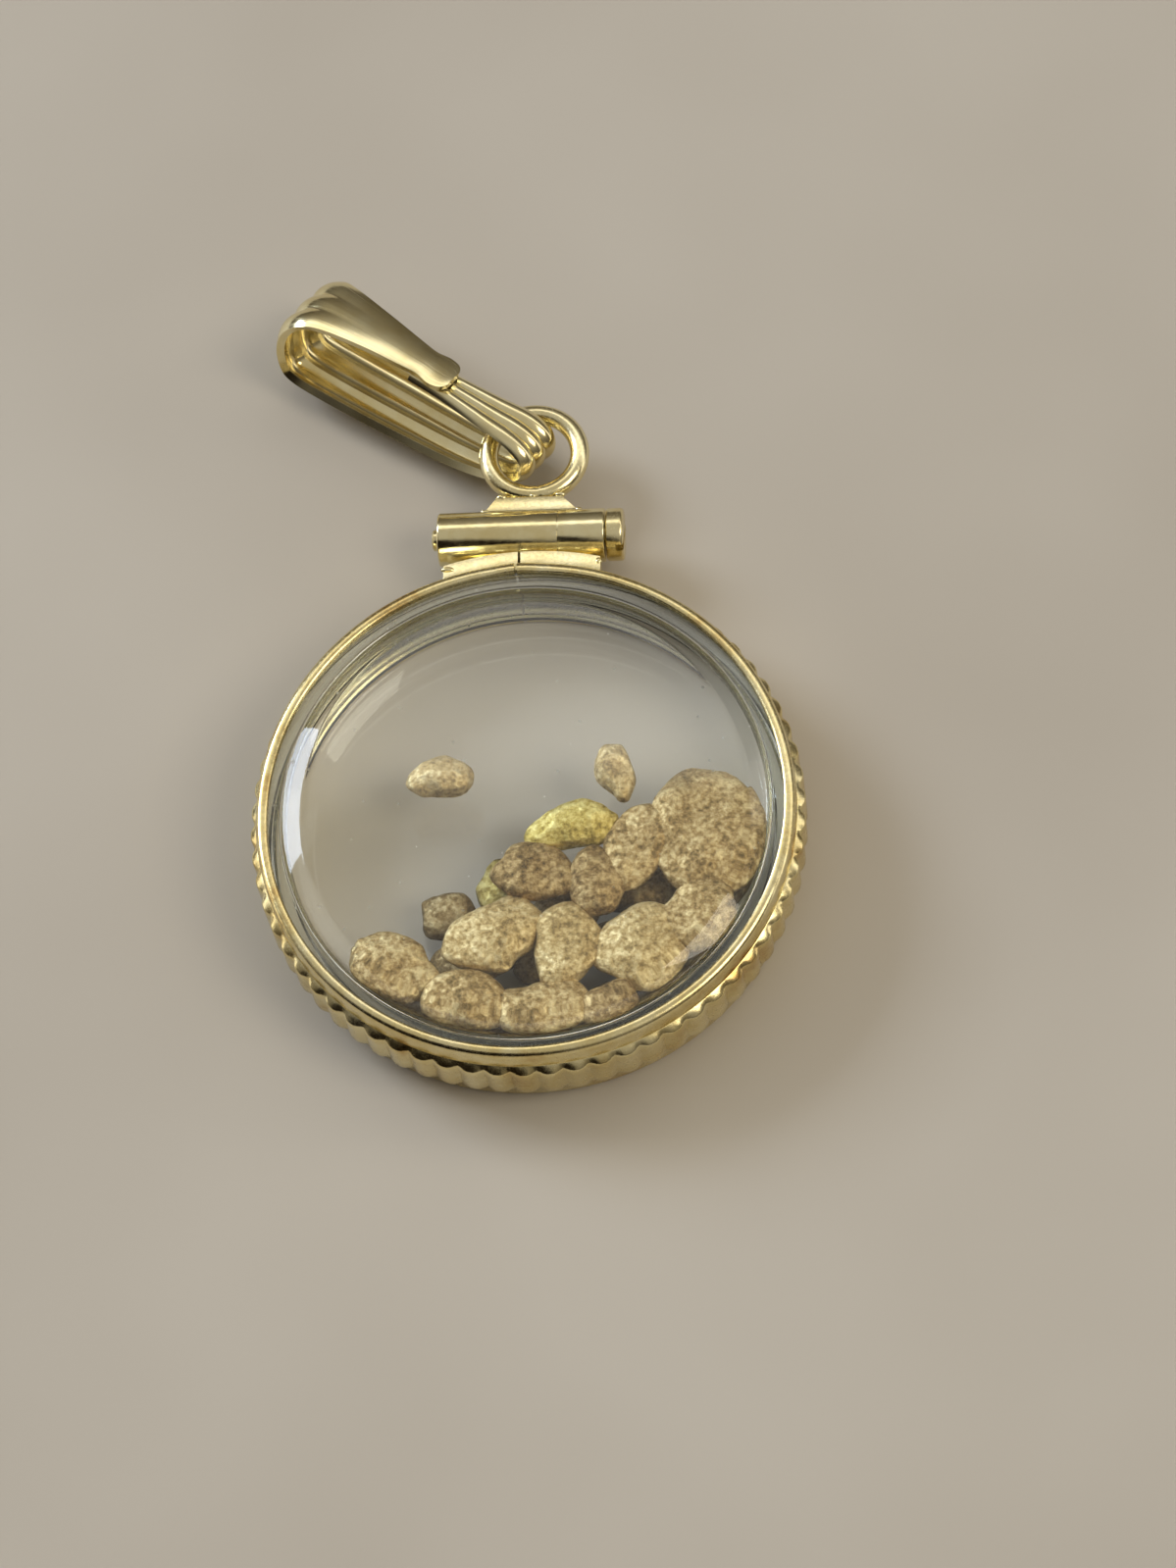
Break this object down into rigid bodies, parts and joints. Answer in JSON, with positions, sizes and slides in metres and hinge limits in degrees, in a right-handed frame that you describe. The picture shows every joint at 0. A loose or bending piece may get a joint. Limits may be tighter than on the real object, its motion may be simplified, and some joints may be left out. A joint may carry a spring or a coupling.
{
  "type": "gold flake sample pendant",
  "caption": "Flat round see-through capsule of loose gold flakes, clamped in a coin-edge screw-top bezel with a fixed ring and a fluted bail.",
  "frame": {"origin": "centre of the back window's outer face, on the plane that the pendant lies on", "axes": "+Z out of the front window along the capsule's axis, +Y from the capsule to the barrel and the ring, +X along the barrel to the screw's head"},
  "size_m": [0.02, 0.0326, 0.004],
  "materials": {
    "rolled_gold": "polished yellow rolled gold, lightly worn",
    "clear_acrylic": "clear, moulded smooth",
    "placer_gold": "matt, water-worn and granular"
  },
  "bodies": {
    "bezel": {"bezel_band": "rolled_gold", "saddle_left": "rolled_gold", "saddle_right": "rolled_gold", "barrel_tube_left": "rolled_gold", "barrel_tube_right": "rolled_gold", "loop_foot": "rolled_gold", "loop_ring": "rolled_gold", "front_crystal": "clear_acrylic", "back_crystal": "clear_acrylic", "capsule_wall": "clear_acrylic"},
    "screw": {"clamp_screw": "rolled_gold"},
    "bail": {"bail_strip": "rolled_gold"},
    "flake_pile": {"flake_01": "placer_gold", "flake_02": "placer_gold", "flake_03": "placer_gold", "flake_04": "placer_gold", "flake_05": "placer_gold", "flake_06": "placer_gold", "flake_07": "placer_gold", "flake_08": "placer_gold", "flake_09": "placer_gold", "flake_10": "placer_gold", "flake_11": "placer_gold", "flake_12": "placer_gold", "flake_13": "placer_gold", "flake_14": "placer_gold", "flake_15": "placer_gold", "flake_16": "placer_gold", "flake_17": "placer_gold", "flake_18": "placer_gold", "flake_19": "placer_gold", "flake_20": "placer_gold", "flake_21": "placer_gold", "flake_22": "placer_gold", "flake_23": "placer_gold", "flake_24": "placer_gold", "flake_25": "placer_gold", "flake_26": "placer_gold", "flake_27": "placer_gold"},
    "loose_flake_a": {"loose_flake_a": "placer_gold"},
    "loose_flake_b": {"loose_flake_b": "placer_gold"}
  },
  "joints": [
    {"name": "screw_turn", "type": "hinge", "parent": "bezel", "child": "screw", "pos_m": [0, 0.01165, 0.0019], "axis": [1, 0, 0], "continuous": true},
    {"name": "bail_swing", "type": "hinge", "parent": "bezel", "child": "bail", "pos_m": [0, 0.01512, 0.0019], "axis": [0, 0, 1], "range_deg": [-150, 40]},
    {"name": "pile_turn", "type": "hinge", "parent": "bezel", "child": "flake_pile", "pos_m": [0, 0, 0.0019], "axis": [0, 0, 1], "continuous": true},
    {"name": "loose_a_slide", "type": "slide", "parent": "flake_pile", "child": "loose_flake_a", "axis": [0, 1, 0], "range_m": [-0.0035, 0.003]},
    {"name": "loose_b_slide", "type": "slide", "parent": "flake_pile", "child": "loose_flake_b", "axis": [0, 1, 0], "range_m": [-0.0003, 0.003]}
  ]
}
